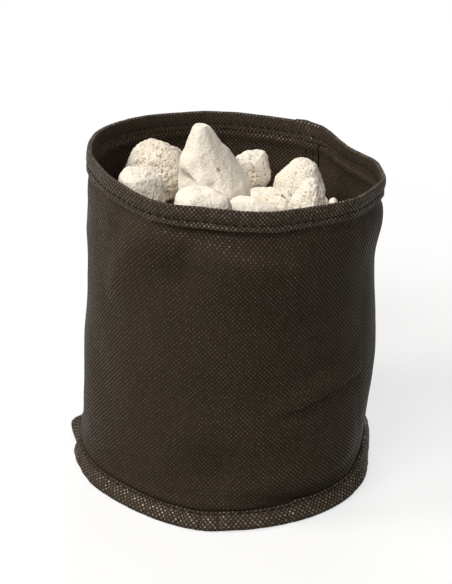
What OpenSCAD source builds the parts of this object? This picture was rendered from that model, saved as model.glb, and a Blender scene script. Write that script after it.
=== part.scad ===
// Round grow bag of point-bonded cloth with a bound rim and a bound base seam,
// standing filled with loose stones.
// Millimetres, Z up. The origin is the middle of the base, on the floor.

/* [Bag] */
// Diameter over the cloth at the mouth
mouth_d = 158; // [120:1:300]
// Diameter over the cloth at the base seam
base_d = 165; // [120:1:300]
// Mean height of the cloth's top edge above the floor
bag_h = 182; // [120:1:300]
// Thickness of one layer of cloth
cloth_t = 0.8; // [0.5:0.1:1.2]
// Air left between stacked layers of cloth
layer_gap = 0.1; // [0.05:0.05:0.2]

/* [Stance] */
// How far the mouth leans to the right of the base
lean = 5; // [0:0.5:10]
// How much lower the rim hangs on its low side than on its high side
rim_drop = 13; // [0:1:20]
// Angle of the rim's low side, counted from the right towards the back
drop_a = 12; // [0:1:360]
// How fast the waves of the rim and the base die out along the wall
wave_fade = 4; // [2:1:8]

/* [Rim binding] */
// Width of the folded strip on each face of the rim
rim_strip_w = 9; // [6:0.5:16]

/* [Base seam] */
// Width of the seam allowance that stands out as a flange
flange_w = 9.5; // [8:0.5:14]
// Slope of the flange down to the floor
flange_slope = 47; // [30:1:55]
// Bare allowance between the seam's inner fold and the strip, on top
strip_inset = 1; // [0.5:0.25:3]
// The same on the underside
under_inset = 3; // [2.5:0.25:5]
// Width of the stretch where the base climbs from the floor to the seam
dish_w = 14; // [8:1:25]

/* [Side seam] */
// Angle of the seam, counted from the right towards the back
seam_a = 51; // [0:1:90]
// Width of the lap where the panel's two ends meet
lap_w = 12; // [8:1:20]

/* [Stitching] */
// Diameter of the thread
thread_d = 0.6; // [0.3:0.1:1]
// Length of one stitch with its gap
stitch_pitch = 4.7; // [3:0.1:8]
// Gap between stitches
stitch_gap = 1; // [0.5:0.1:2]
// Distance of the rim's stitch row from the free edge of its strip
rim_inset = 3; // [2:0.5:4]
// Distance of the base's stitch row from the free edge of its strip
base_inset = 1.5; // [1:0.5:4]

/* [Fill] */
// Depth of the bed's top below the rim
headroom = 32; // [25:1:60]
// Space between the bed and the wall
wall_slack = 3.5; // [3:0.5:8]
// Turn of the bed's rings about the middle
bed_turn = 25; // [0:1:60]
// Air between stones that are free to lift
stone_gap = 0.3; // [0.3:0.1:1]
// Middle angle of the hollow at the back of the bed's top layer
hollow_a = 58; // [0:1:360]
// Half width of that hollow
hollow_half = 44; // [0:1:90]

/* [Hidden] */
mouth_r = mouth_d / 2;
base_r = base_d / 2;

// Slack and full stretches of the rim: middle angle, half width, depth
rim_waves = [
  [155, 30, 2],
  [114, 16, -1.5],
  [60, 24, 2.5],
  [28, 24, -6],
  [-12, 16, 2],
  [-58, 24, -3],
  [-119, 22, 4],
  [-157, 18, -1.2]
];
// Slack and full stretches of the base seam: middle angle, half width, depth
base_waves = [
  [180, 44, 4.5],
  [-128, 26, -2],
  [-98, 14, 1],
  [-46, 30, 1.5],
  [-14, 24, -1.5]
];
// Bellies and hollows of the wall: middle angle, half width, middle share of the height,
// half share, depth
wall_waves = [
  [0, 55, 0.34, 0.5, 4.5],
  [180, 50, 0.68, 0.3, -1],
  [-10, 40, 0.84, 0.14, 1]
];
// Steeper stretches of the flange: middle angle, half width, added slope
slope_waves = [
  [180, 45, 22],
  [-4, 40, 28]
];

// Columns of each swept piece, besides the three that carry the lap
cols = 64;
// Rows of the wall, as shares of its height, below the rim strip
wall_rows = [0.08, 0.22, 0.38, 0.54, 0.7, 0.84];

lap_a = lap_w / mouth_r * 180 / PI;
step_a = lap_a / 2;
lap_t = cloth_t + layer_gap;

// Half thickness of the folded strip with the two layers that it holds
fold_r = 2 * cloth_t + 1.5 * layer_gap;
// Height of the seam's inner fold above the floor, where the flange has its common slope
seam_rise = fold_r + layer_gap + flange_w * sin(flange_slope);
// Lower edge of the rim strip as a share of the wall's height
strip_u = 1 - rim_strip_w / (bag_h - seam_rise);

fill_r = min(mouth_r, base_r) - cloth_t - wall_slack;
bed_top = bag_h - headroom;
// Layers of stones in the bed, one node for each
bed_layers = 5;
layer_h = (bed_top - cloth_t) / bed_layers;
bed_pitch = fill_r / 2.5;
// Power of the bed stones' outline: two is round, more is blunter
bed_blunt = 3;

// Loose stones on the bed, as shares of the fill's radius: right, back, width, depth, height.
// Then how much each narrows towards its top, how far its top leans to the right as a share of
// its half width, the power of its outline, and the number that picks its flats.
stones = [
  ["porous_stone", -0.58, 0.35, 0.52, 0.44, 0.45, 0.15, 0.05, 3, 11],
  ["left_front_stone", -0.66, -0.27, 0.36, 0.4, 0.46, 0.1, -0.1, 4, 12],
  ["tall_stone", -0.13, 0.06, 0.55, 0.5, 0.66, 0.5, -0.28, 2.6, 13],
  ["flat_front_stone", -0.2, -0.7, 0.42, 0.36, 0.47, 0, 0, 6, 14],
  ["small_back_stone", 0.17, 0.47, 0.28, 0.3, 0.29, 0, 0, 6, 25],
  ["round_front_stone", 0.14, -0.48, 0.4, 0.26, 0.31, 0.1, -0.1, 3, 16],
  ["pitted_stone", 0.31, -0.14, 0.34, 0.33, 0.24, 0, 0, 6, 17],
  ["right_back_stone", 0.52, 0.24, 0.4, 0.4, 0.33, 0.35, 0, 2.8, 18],
  ["right_front_stone", 0.54, -0.47, 0.32, 0.36, 0.45, 0.4, 0.05, 2.8, 19],
  ["pebble", 0.74, -0.08, 0.12, 0.16, 0.15, 0, 0, 3, 20]
];

cloth_colour = [0.13, 0.11, 0.095];
strip_colour = [0.15, 0.13, 0.11];
thread_colour = [0.07, 0.06, 0.055];
stone_colour = [0.8, 0.76, 0.68];
bed_colour = [0.72, 0.68, 0.6];

// Shapes shared by the pieces

// Angle brought into the half turn either side of nought
function turned(a) = a - 360 * floor((a + 180) / 360);

// Smooth hump: one at its middle, nought past its half width
function hump(a, middle, half) =
  let (off = abs(turned(a - middle)))
  off < half ? (1 + cos(180 * off / half)) / 2 : 0;

// All waves of one list added up at one angle
function waves(list, a) =
  [for (w = list) w[2] * hump(a, w[0], w[1])] * [for (w = list) 1];

// The wall's own bellies and hollows added up at one angle and share of the height
function bellies(a, u) =
  [
    for (w = wall_waves)
      let (off = abs(u - w[2]) / w[3])
        off < 1 ? w[4] * hump(a, w[0], w[1]) * (1 + cos(180 * off)) / 2 : 0
  ] * [for (w = wall_waves) 1];

// Outer radius of the cloth at an angle and a share of the wall's height
function wall_r(a, u) =
  base_r + u * (mouth_r - base_r)
  + waves(rim_waves, a) * pow(u, wave_fade)
  + waves(base_waves, a) * pow(max(0, 1 - u), wave_fade)
  + bellies(a, u);

// Slope of the flange, and the height of its inner fold, at one angle
function slope(a) = flange_slope + waves(slope_waves, a);
function fold_z(a) = fold_r + layer_gap + flange_w * sin(slope(a));

// Sideways shift of the bag's axis at a share of the wall's height
function axis_x(u) = lean * u * u;

// Height of a point on the wall
function wall_z(a, u) =
  fold_z(a) + u * (bag_h - rim_drop / 2 * cos(a - drop_a) - fold_z(a));

// Point at a radius, angle and height, on the leaning axis
function place(r, a, z, u) = [axis_x(u) + r * cos(a), r * sin(a), z];

// Point on the wall, out from its inner face by off
function wall_pt(a, u, off) =
  place(wall_r(a, u) - cloth_t + off, a, wall_z(a, u), u);

// Inner fold of the base seam, where a layer turns from the wall into the flange
function root_pt(a, off) =
  place(wall_r(a, 0) - cloth_t + off, a,
        fold_z(a) + off * (1 - sin(slope(a))) / cos(slope(a)), 0);

// Point in the flange, along it from the inner fold and up from its middle plane
function flange_pt(a, along, off) =
  place(wall_r(a, 0) - cloth_t + along * cos(slope(a)) + off * sin(slope(a)), a,
        fold_z(a) - along * sin(slope(a)) + off * cos(slope(a)), 0);

// Point in the rim strip, up from the strip's lower edge and out from the wall's inner face
function rim_pt(a, along, off) =
  wall_pt(a, strip_u + (1 - strip_u) * along / rim_strip_w, off);

// Angles of the columns that every ring shares
ring_w = concat(
  [0, lap_a / 2, lap_a],
  [for (i = [0:cols]) lap_a + step_a + i * (360 - lap_a - 2 * step_a) / cols]
);

// Rise of the panel's far end on to its near end
function lap_rise(w) = lap_t * min(1, max(0, (w - 360 + step_a) / step_a));

// Rise of a strip over the lap
function over_lap(w) =
  max(lap_rise(w), lap_t * min(1, max(0, (lap_a + step_a - w) / step_a)));

// Two triangles for four corners, of which the first two are in one column and the others in the
// next. Each layer is split along the diagonal that rises with the turn, so stacked layers agree.
function quad(pts, a, b, c, d) =
  pts[a][2] < pts[b][2] ? [[a, b, c], [a, c, d]] : [[b, c, d], [b, d, a]];

// List from its last entry to its first
function reversed(list) = [for (i = [len(list) - 1:-1:0]) list[i]];

// Solid swept through a list of closed sections with equal point counts
module sweep(sections, ring) {
  n = len(sections);
  m = len(sections[0]);
  pts = [for (s = sections) each s];
  sides = [
    for (i = [0:(ring ? n : n - 1) - 1])
      for (j = [0:m - 1])
        let (k = (i + 1) % n, l = (j + 1) % m)
          each quad(pts, i * m + j, i * m + l, k * m + l, k * m + j)
  ];
  // A free end is closed between each point and its mate on the other face
  near_end = [for (j = [0:m / 2 - 2]) each quad(pts, j, m - 1 - j, m - 2 - j, j + 1)];
  z = (n - 1) * m;
  far_end = [
    for (j = [0:m / 2 - 2])
      each quad(pts, z + j, z + j + 1, z + m - 2 - j, z + m - 1 - j)
  ];
  polyhedron(
    points = pts,
    faces = ring ? sides : concat(sides, near_end, far_end)
  );
}

// Straight bar between two points
module bar(p, q, d) {
  v = q - p;
  translate(p)
    rotate([0, acos(v[2] / norm(v)), atan2(v[1], v[0])])
      cylinder(h = norm(v), d = d, $fn = 24);
}

// Fabric pieces

// One panel, rolled round and lapped on itself, its foot turned out into the flange
module wall_panel() {
  rises = concat([0], wall_rows, [strip_u, 1]);
  w_all = concat(ring_w, [360, 360 + lap_a / 2, 360 + lap_a]);
  color(cloth_colour)
    sweep([
      for (w = w_all)
        let (a = seam_a + w, lift = lap_rise(w), top = lift + cloth_t)
          concat(
            [flange_pt(a, flange_w, top), root_pt(a, top)],
            [for (i = [1:len(rises) - 1]) wall_pt(a, rises[i], top)],
            [for (i = [len(rises) - 1:-1:1]) wall_pt(a, rises[i], lift)],
            [root_pt(a, lift), flange_pt(a, flange_w, lift)]
          )
    ], false);
}

// Round base: flat on the floor, climbing to the seam and turned down into the flange
module base_panel() {
  n = len(ring_w);
  m = 6;
  pts = [
    for (w = ring_w)
      let (
        a = seam_a + w,
        r = wall_r(a, 0) - cloth_t,
        z = fold_z(a) - layer_gap,
        s = slope(a),
        climb = atan((z - cloth_t) / dish_w),
        // Lower corner of the inner fold, where both slopes are one thickness down
        kink = (1 - cos(climb) / cos(s)) / (sin(climb) + tan(s) * cos(climb)),
        drop = (1 + kink * sin(s)) / cos(s),
        // Where the underside leaves the floor
        foot = (cloth_t - z * cos(climb)) / sin(climb)
      )
        each [
          place(r - dish_w, a, cloth_t, 0),
          place(r, a, z, 0),
          flange_pt(a, flange_w, -layer_gap),
          flange_pt(a, flange_w, -layer_gap - cloth_t),
          place(r + kink * cloth_t, a, z - drop * cloth_t, 0),
          place(r + foot, a, 0, 0)
        ]
  ];
  sides = [
    for (i = [0:n - 1])
      for (j = [0:m - 2])
        let (k = (i + 1) % n)
          each quad(pts, i * m + j + 1, i * m + j, k * m + j, k * m + j + 1)
  ];
  top = [for (i = [n - 1:-1:0]) i * m];
  bottom = [for (i = [0:n - 1]) i * m + m - 1];
  color(cloth_colour)
    polyhedron(points = pts, faces = concat(sides, [top, bottom]));
}

// Section of a folded strip from its two free edges round the cloth's edge
function strip_section(from, under_from, to, low, high) =
  let (
    mid = (high + low - cloth_t) / 2,
    half = (high - low + cloth_t) / 2
  )
  [
    [under_from, low],
    [to + layer_gap, low],
    [to + layer_gap, high - cloth_t],
    [from, high - cloth_t],
    [from, high],
    [to + layer_gap, high],
    [to + 0.7 * half, mid + 0.7 * half],
    [to + half, mid],
    [to + 0.7 * half, mid - 0.7 * half],
    [to + layer_gap, low - cloth_t],
    [under_from, low - cloth_t]
  ];

// Strip folded over the cloth's top edge
module rim_binding() {
  color(strip_colour)
    sweep([
      for (w = ring_w)
        [
          for (p = strip_section(0, 0, rim_strip_w, -layer_gap,
                                 2 * cloth_t + layer_gap + over_lap(w)))
            rim_pt(seam_a + w, p[0], p[1])
        ]
    ], true);
}

// Strip folded over the edge of the base seam
module base_binding() {
  color(strip_colour)
    sweep([
      for (w = ring_w)
        [
          for (p = reversed(strip_section(strip_inset, under_inset, flange_w,
                                          -cloth_t - 2 * layer_gap,
                                          2 * cloth_t + layer_gap + over_lap(w))))
            flange_pt(seam_a + w, p[0], p[1])
        ]
    ], true);
}

// Seam threads, one bar for each stitch that shows

// Turn from the side seam, wound into one full circle
function wound(a) = (a - seam_a) - 360 * floor((a - seam_a) / 360);

module rim_stitching() {
  count = round(2 * PI * mouth_r / stitch_pitch);
  span = 360 / count * (1 - stitch_gap / stitch_pitch);
  face = 2 * cloth_t + layer_gap;
  color(thread_colour)
    for (i = [0:count - 1])
      let (a = i * 360 / count, b = a + span)
        bar(
          rim_pt(a, rim_inset, face + over_lap(wound(a))),
          rim_pt(b, rim_inset, face + over_lap(wound(b))),
          thread_d
        );
}

module base_stitching() {
  count = round(2 * PI * (base_r + flange_w / 2) / stitch_pitch);
  span = 360 / count * (1 - stitch_gap / stitch_pitch);
  face = 2 * cloth_t + layer_gap;
  along = strip_inset + base_inset;
  color(thread_colour)
    for (i = [0:count - 1])
      let (a = i * 360 / count, b = a + span)
        bar(
          flange_pt(a, along, face + over_lap(wound(a))),
          flange_pt(b, along, face + over_lap(wound(b))),
          thread_d
        );
}

// Two rows through the lap, seen inside and outside
module side_seam_stitching() {
  run = (bag_h - seam_rise) * strip_u - 2 * stitch_pitch;
  count = floor(run / stitch_pitch);
  first = stitch_pitch / (bag_h - seam_rise);
  step = run / count / (bag_h - seam_rise);
  dash = step * (1 - stitch_gap / stitch_pitch);
  color(thread_colour)
    for (row = [0.3, 0.7])
      for (face = [0, lap_t + cloth_t])
        for (i = [0:count - 1])
          bar(
            wall_pt(seam_a + row * lap_a, first + i * step, face),
            wall_pt(seam_a + row * lap_a, first + i * step + dash, face),
            thread_d
          );
}

// Stones

// Random flats that cut a round lump: direction and distance
function flats(pick) =
  let (
    z = rands(-0.7, 0.7, 8, pick),
    turn = rands(0, 360, 8, pick + 100),
    depth = rands(0.74, 0.94, 8, pick + 200)
  )
  [
    for (i = [0:7])
      let (c = sqrt(1 - z[i] * z[i]))
        [[c * cos(turn[i]), c * sin(turn[i]), z[i]], depth[i]]
  ];

// Reach of a lump of radius one along a direction, blunt at its top and foot
function reach(v, cuts, blunt) =
  let (wide = norm([v[0], v[1]]))
  min([
    1 / pow(pow(wide, blunt) + pow(abs(v[2]), blunt), 1 / blunt),
    for (c = cuts) v * c[0] > 0.1 ? c[1] / (v * c[0]) : 2
  ]);

// Lump about two across that stands on nought, its lower part levelled at a share of its half height
module lump(narrow, lean_x, blunt, pick, level, around, up) {
  cuts = flats(pick);
  pts = concat(
    [[0, 0, -level]],
    [
      for (j = [1:up - 1])
        for (k = [0:around - 1])
          let (
            p = 180 - 180 * j / up,
            a = 360 * (k + (j % 2) / 2) / around,
            v = [sin(p) * cos(a), sin(p) * sin(a), cos(p)],
            q = v * reach(v, cuts, blunt),
            rise = max(0, q[2]),
            shrink = 1 - narrow * rise
          )
            [q[0] * shrink + lean_x * rise, q[1] * shrink, max(q[2], -level)]
    ],
    [[lean_x, 0, 1]]
  );
  top = len(pts) - 1;
  foot_faces = [for (k = [0:around - 1]) [0, 1 + k, 1 + (k + 1) % around]];
  band_faces = [
    for (j = [0:up - 3])
      for (k = [0:around - 1])
        let (
          odd = (j + 1) % 2,
          l = (k + 1) % around,
          a = 1 + j * around,
          b = a + around
        )
          each (odd == 1
            ? [[a + k, b + l, a + l], [a + k, b + k, b + l]]
            : [[a + k, b + k, a + l], [a + l, b + k, b + l]])
  ];
  head_faces = [for (k = [0:around - 1]) [top, top - around + (k + 1) % around, top - around + k]];
  polyhedron(
    points = [for (p = pts) p + [0, 0, level]],
    faces = concat(foot_faces, band_faces, head_faces)
  );
}

// Share of the wall's height at a level
function share(z) = (z - seam_rise) / (bag_h - seam_rise);

// One layer of the bed: a middle stone and two rings round it, each stone on the one below
module bed_layer(i) {
  z = cloth_t + (i - 1) * layer_h;
  width = bed_pitch - stone_gap;
  color(bed_colour)
    translate([axis_x(max(0, share(z + layer_h / 2))), 0, z])
      for (ring = [0:2])
        for (k = [0:max(1, 6 * ring) - 1])
          let (a = bed_turn + 60 * k / max(1, ring))
            if (i < bed_layers || ring < 2 || abs(turned(a - hollow_a)) > hollow_half)
              rotate(a)
                translate([ring * bed_pitch, 0, 0])
                  scale([width / 2, width / 2, layer_h / 2])
                    hull()
                      lump(0, 0, bed_blunt, 100 * i + 20 * ring + k, 1, 6, 4);
}

module loose_stone(i) {
  s = stones[i];
  color(stone_colour)
    translate([axis_x(share(bed_top)) + s[1] * fill_r, s[2] * fill_r, bed_top + stone_gap])
      resize([s[3] * fill_r, s[4] * fill_r, s[5] * fill_r])
        lump(s[6], s[7], s[8], s[9], 0.5, 12, 8);
}

wall_panel();
base_panel();
rim_binding();
base_binding();
rim_stitching();
base_stitching();
side_seam_stitching();
bed_layer(1);  // bed_layer_1
bed_layer(2);  // bed_layer_2
bed_layer(3);  // bed_layer_3
bed_layer(4);  // bed_layer_4
bed_layer(5);  // bed_layer_5
loose_stone(0);  // porous_stone
loose_stone(1);  // left_front_stone
loose_stone(2);  // tall_stone
loose_stone(3);  // flat_front_stone
loose_stone(4);  // small_back_stone
loose_stone(5);  // round_front_stone
loose_stone(6);  // pitted_stone
loose_stone(7);  // right_back_stone
loose_stone(8);  // right_front_stone
loose_stone(9);  // pebble
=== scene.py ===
"""Looks of the grow bag: cloth sheets, folded strips, seam threads and pumice, built round the
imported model. Shapes are worked out in millimetres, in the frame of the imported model, and scaled
to metres as each mesh is made. Angles are in degrees, counted from the right towards the back."""

import bmesh
import bpy
import numpy as np
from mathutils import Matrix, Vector
from mathutils.bvhtree import BVHTree


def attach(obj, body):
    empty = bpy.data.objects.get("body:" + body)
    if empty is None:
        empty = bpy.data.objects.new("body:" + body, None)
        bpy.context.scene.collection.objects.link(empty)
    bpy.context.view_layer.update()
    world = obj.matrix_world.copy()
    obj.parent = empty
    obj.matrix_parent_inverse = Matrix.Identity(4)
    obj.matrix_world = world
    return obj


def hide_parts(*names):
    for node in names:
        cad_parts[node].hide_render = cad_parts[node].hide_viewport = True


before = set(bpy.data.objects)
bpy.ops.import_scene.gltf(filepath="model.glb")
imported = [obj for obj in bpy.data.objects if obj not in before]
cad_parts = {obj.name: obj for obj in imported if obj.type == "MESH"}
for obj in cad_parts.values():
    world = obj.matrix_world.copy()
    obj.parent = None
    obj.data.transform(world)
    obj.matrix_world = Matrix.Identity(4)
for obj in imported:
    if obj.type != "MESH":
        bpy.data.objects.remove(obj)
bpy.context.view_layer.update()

MM = 0.001

# Sizes of the bag, as in the part's source

MOUTH_R = 158 / 2
BASE_R = 165 / 2
BAG_H = 182
CLOTH_T = 0.8
LAYER_GAP = 0.1
LEAN = 5
RIM_DROP = 13
DROP_A = 12
WAVE_FADE = 4
RIM_STRIP_W = 9
FLANGE_W = 9.5
FLANGE_SLOPE = 47
STRIP_INSET = 1
UNDER_INSET = 3
DISH_W = 14
SEAM_A = 51
LAP_W = 12
THREAD_D = 0.6
STITCH_PITCH = 4.7
STITCH_GAP = 1
RIM_INSET = 3
BASE_INSET = 1.5

# Middle angle, half width, depth
RIM_WAVES = [
    (155, 30, 2), (114, 16, -1.5), (60, 24, 2.5), (28, 24, -6),
    (-12, 16, 2), (-58, 24, -3), (-119, 22, 4), (-157, 18, -1.2),
]
BASE_WAVES = [
    (180, 44, 4.5), (-128, 26, -2), (-98, 14, 1), (-46, 30, 1.5), (-14, 24, -1.5),
]
SLOPE_WAVES = [(180, 45, 22), (-4, 40, 28)]
# Middle angle, half width, middle share of the height, half share, depth
WALL_WAVES = [(0, 55, 0.34, 0.5, 4.5), (180, 50, 0.68, 0.3, -1), (-10, 40, 0.84, 0.14, 1)]

LAP_A = np.degrees(LAP_W / MOUTH_R)
STEP_A = LAP_A / 2
LAP_T = CLOTH_T + LAYER_GAP
FOLD_R = 2 * CLOTH_T + 1.5 * LAYER_GAP
SEAM_RISE = FOLD_R + LAYER_GAP + FLANGE_W * np.sin(np.radians(FLANGE_SLOPE))
STRIP_U = 1 - RIM_STRIP_W / (BAG_H - SEAM_RISE)

# Middle line of each folded strip's section: middle of the fold, and half its width
RIM_FOLD = (CLOTH_T / 2, CLOTH_T + LAYER_GAP)
BASE_FOLD = (-LAYER_GAP / 2, 1.5 * (CLOTH_T + LAYER_GAP))

# Smooth noise

NOISE_SEED = 7
# Distance between the layers of the noise round the bag
LAYER_STEP = 7.3
_pick = np.random.default_rng(NOISE_SEED)
_perm = np.tile(_pick.permutation(256), 3)
_ways = _pick.normal(size=(256, 3))
_ways /= np.linalg.norm(_ways, axis=1)[:, None]


def noise(p):
    """Smooth noise at points p, between about -1 and 1, with about one lump to each unit."""
    shape = p.shape[:-1]
    p = p.reshape(-1, 3)
    cell = np.floor(p).astype(int)
    f = p - cell
    blend = f * f * f * (f * (f * 6 - 15) + 10)
    total = np.zeros(len(p))
    for corner in np.ndindex(2, 2, 2):
        x, y, z = ((cell + corner) & 255).T
        way = _ways[_perm[_perm[_perm[x] + y] + z]]
        share = np.where(corner, blend, 1 - blend).prod(1)
        total += share * (way * (f - corner)).sum(1)
    return 1.5 * total.reshape(shape)


def noises(p, rows):
    """Rows of noise at points p, added up: rise, length of the lumps, shift."""
    return sum(rise * noise(p / length + shift) for rise, length, shift in rows)


def ring_noise(a, *rows):
    """Rows of noise round the bag, added up, which close on themselves: rise, length, layer."""
    t = np.radians(a)
    total = 0
    for rise, length, layer in rows:
        r = BASE_R / length
        level = np.full_like(t, LAYER_STEP * layer)
        total = total + rise * noise(np.stack([r * np.cos(t), r * np.sin(t), level], -1))
    return total


def ease(x, low, high):
    """From nought at low to one at high, smoothly."""
    t = np.clip((x - low) / (high - low), 0, 1)
    return t * t * (3 - 2 * t)


def bell(x, middle, width):
    """One at the middle, falling to nought on both sides."""
    return np.exp(-(((x - middle) / width) ** 2))


# Shape of the bag, as in the part's source

def turned(a):
    return (a + 180) % 360 - 180


def hump(a, middle, half):
    off = np.abs(turned(a - middle)) / half
    return np.where(off < 1, (1 + np.cos(np.pi * off)) / 2, 0)


def waves(rows, a):
    return sum(depth * hump(a, middle, half) for middle, half, depth in rows)


def bellies(a, u):
    total = 0
    for middle, half, at, span, depth in WALL_WAVES:
        off = np.abs(u - at) / span
        swell = depth * hump(a, middle, half) * (1 + np.cos(np.pi * off)) / 2
        total = total + np.where(off < 1, swell, 0)
    return total


def wall_r(a, u):
    return (
        BASE_R + u * (MOUTH_R - BASE_R)
        + waves(RIM_WAVES, a) * np.maximum(0, u) ** WAVE_FADE
        + waves(BASE_WAVES, a) * np.maximum(0, 1 - u) ** WAVE_FADE
        + bellies(a, u)
    )


def slope(a):
    return np.radians(FLANGE_SLOPE + waves(SLOPE_WAVES, a))


def fold_z(a):
    return FOLD_R + LAYER_GAP + FLANGE_W * np.sin(slope(a))


def top_z(a):
    return BAG_H - RIM_DROP / 2 * np.cos(np.radians(a - DROP_A))


def wall_z(a, u):
    return fold_z(a) + u * (top_z(a) - fold_z(a))


def place(r, a, z, u):
    t = np.radians(a)
    return np.stack(np.broadcast_arrays(LEAN * u * u + r * np.cos(t), r * np.sin(t), z), -1)


def lap_rise(w):
    return LAP_T * np.clip((w - 360 + STEP_A) / STEP_A, 0, 1)


def over_lap(a):
    w = (a - SEAM_A) % 360
    return np.maximum(lap_rise(w), LAP_T * np.clip((LAP_A + STEP_A - w) / STEP_A, 0, 1))


# Folds that the slack cloth hangs in, outwards from the plain wall

# Path of (angle, height) points, then two widths and two rises: those on its left hand and those on
# its right, seen from outside
FOLDS = [
    # Soft ridge down from the rim's corner at the front left
    ([(-114, 184), (-121, 172), (-128, 158), (-135, 143), (-143, 121)], 15, 9, 3.4, 3.4),
    # Hollow beside it
    ([(-103, 156), (-112, 138)], 10, 10, -1.2, -1.2),
    # Ledge below the rim strip at the front, steep above and long below
    ([(-105, 163.5), (-95, 160), (-84, 155.5), (-72, 151), (-57, 146)], 6.2, 20, 5.0, 5.0),
    # Diagonal fold at the lower right: full above, sharp below
    ([(-74, 66.5), (-64, 68), (-54, 70.5), (-46, 72), (-36, 73), (-27, 72)], 15, 8, 2.8, -2.6),
    # Hollow above it
    ([(-68, 82), (-56, 84), (-43, 87)], 7, 7, -3.2, -3.2),
    # Upright edge at the right, where the wall turns away
    ([(-66, 174), (-66, 150), (-62, 118)], 20, 9, 2.0, 2.0),
    # Lower right wall standing over the tuck in the base strip
    ([(-92, 26), (-78, 25), (-64, 25), (-50, 26), (-28, 29)], 22, 10, 5.8, 5.8),
    # Lower front: the wall slopes in above the base seam
    ([(-112, 58), (-92, 55), (-72, 54), (-52, 56)], 16, 12, 2.1, 2.1),
    ([(-114, 33), (-96, 30), (-74, 29)], 12, 9, -1.5, -1.5),
    # Soft pulls on the sides and the back
    ([(104, 70), (128, 62), (150, 40)], 12, 7, 1.6, -0.8),
    ([(92, 150), (88, 118), (96, 92)], 10, 10, -1.4, -1.4),
    ([(20, 96), (38, 80), (60, 76)], 12, 7, 1.5, -0.9),
    ([(168, 168), (176, 140), (170, 120)], 9, 9, 1.3, 1.3),
]
# Radius at which the angles of the folds are turned into lengths
FOLD_AT_R = 82
# Width over which the cloth drops where a fold is sharp on its right hand
DROP_W = 1.1
# How a fold runs out towards its ends: the lower, the later
FADE_POWER = 0.7
# Unevenness of the slack wall, as rows of noise
WALL_NOISE = [(1.3, (46, 46, 60), 0), (0.55, (20, 20, 30), 9), (0.12, (7, 7, 7), 5)]
# Gathers below the rim strip and above the base seam, as rows of noise, and how far they reach
RIM_GATHERS, RIM_GATHERS_REACH = (0.22, 7, 5), 9
BASE_GATHERS, BASE_GATHERS_REACH = (0.25, 8, 6), 8
# How far the wall draws in under the rim strip and fills out again: each with how far below it, and
# its width. Then where the first differs
DRAW_IN, FILL_OUT = (1.3, 3, 3.2), (0.7, 15, 8)
DRAW_IN_WAVES = [(-108, 20, 0.9)]
# How far the wall hangs over the free edge of the base strip, how far above the seam's fold, and its
# width. Then where that differs
OVERHANG = (1.2, 2.5, 4)
OVERHANG_WAVES = [(-60, 32, -2.2), (-4, 36, -1.3), (120, 70, 0.4)]
OVERHANG_SWAY = (0.3, 28, 7)
# Where the cloth comes free: down from the rim strip's edge, and up from the seam's fold
FREE_BELOW_RIM, FREE_ABOVE_BASE = (-0.5, 3), (-1, 1.5)
# Unevenness of the rim, outwards and upwards, as rows of noise, and the shares of the height over
# which it sets in
RIM_SWAY, SWAY_FROM = [(0.5, 30, 1), (0.25, 12, 2)], (0.6, 0.95)
RIM_BOB, BOB_FROM = [(0.6, 34, 3), (0.2, 11, 4)], (0.75, 0.97)
# Stretch where the rim runs evenly: middle angle, half width, share of the unevenness taken out
CALM_A, CALM_HALF, CALM_SHARE = -150, 45, 0.8


def stroke(a, z, path, left, right, rise, drop):
    """One fold: its height falls off on both sides of its path and towards the path's ends. Where the
    two rises differ in sign, the cloth drops sharply on the right hand."""
    to_mm = np.pi / 180 * FOLD_AT_R
    sharp = np.sign(rise) != np.sign(drop)
    best = np.full(a.shape, np.inf)
    found = np.zeros(a.shape)
    steps = [((q[0] - p[0]) * to_mm, q[1] - p[1]) for p, q in zip(path, path[1:])]
    run = np.cumsum([0] + [np.hypot(*step) for step in steps])
    for k, (p, (dx, dy)) in enumerate(zip(path, steps)):
        x, y = turned(a - p[0]) * to_mm, z - p[1]
        long = np.hypot(dx, dy)
        t = np.clip((x * dx + y * dy) / long ** 2, 0, 1)
        d = np.hypot(x - t * dx, y - t * dy)
        side = np.where(dx * y - dy * x > 0, d, -d)
        at = (run[k] + t * long) / run[-1]
        fade = np.sin(np.pi * np.clip(at, 0, 1)) ** FADE_POWER
        beside = drop + (rise - drop) * bell(side, 0, DROP_W) if sharp else drop
        height = np.where(side > 0, rise * bell(side, 0, left), beside * bell(side, 0, right))
        found = np.where(d < best, fade * height, found)
        best = np.minimum(best, d)
    return found


def uneven_rim(rows, a):
    """Unevenness of the rim, which the cloth and its strip share."""
    calm = 1 - CALM_SHARE * hump(a, CALM_A, CALM_HALF)
    return calm * ring_noise(a, *rows)


def slack(a, u):
    """How far the cloth of the wall stands out from the plain wall."""
    z = wall_z(a, u)
    foot = z - fold_z(a)
    under = top_z(a) - RIM_STRIP_W - z
    t = np.radians(a)
    p = np.stack([FOLD_AT_R * np.cos(t), FOLD_AT_R * np.sin(t), z], -1)
    free = sum(stroke(a, z, *row) for row in FOLDS) + noises(p, WALL_NOISE)
    free += ring_noise(a, RIM_GATHERS) * np.exp(-np.maximum(under, 0) / RIM_GATHERS_REACH)
    free += ring_noise(a, BASE_GATHERS) * np.exp(-foot / BASE_GATHERS_REACH)
    drawn_in = (DRAW_IN[0] + waves(DRAW_IN_WAVES, a)) * bell(under, *DRAW_IN[1:])
    free += FILL_OUT[0] * bell(under, *FILL_OUT[1:]) - drawn_in
    # The wall hangs over the free edge of the base strip, with a dark slit between them
    over = OVERHANG[0] + waves(OVERHANG_WAVES, a) + ring_noise(a, OVERHANG_SWAY)
    free += over * bell(foot, *OVERHANG[1:])
    held = ease(under, *FREE_BELOW_RIM) * ease(foot, *FREE_ABOVE_BASE)
    return free * held + uneven_rim(RIM_SWAY, a) * ease(u, *SWAY_FROM)


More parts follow.
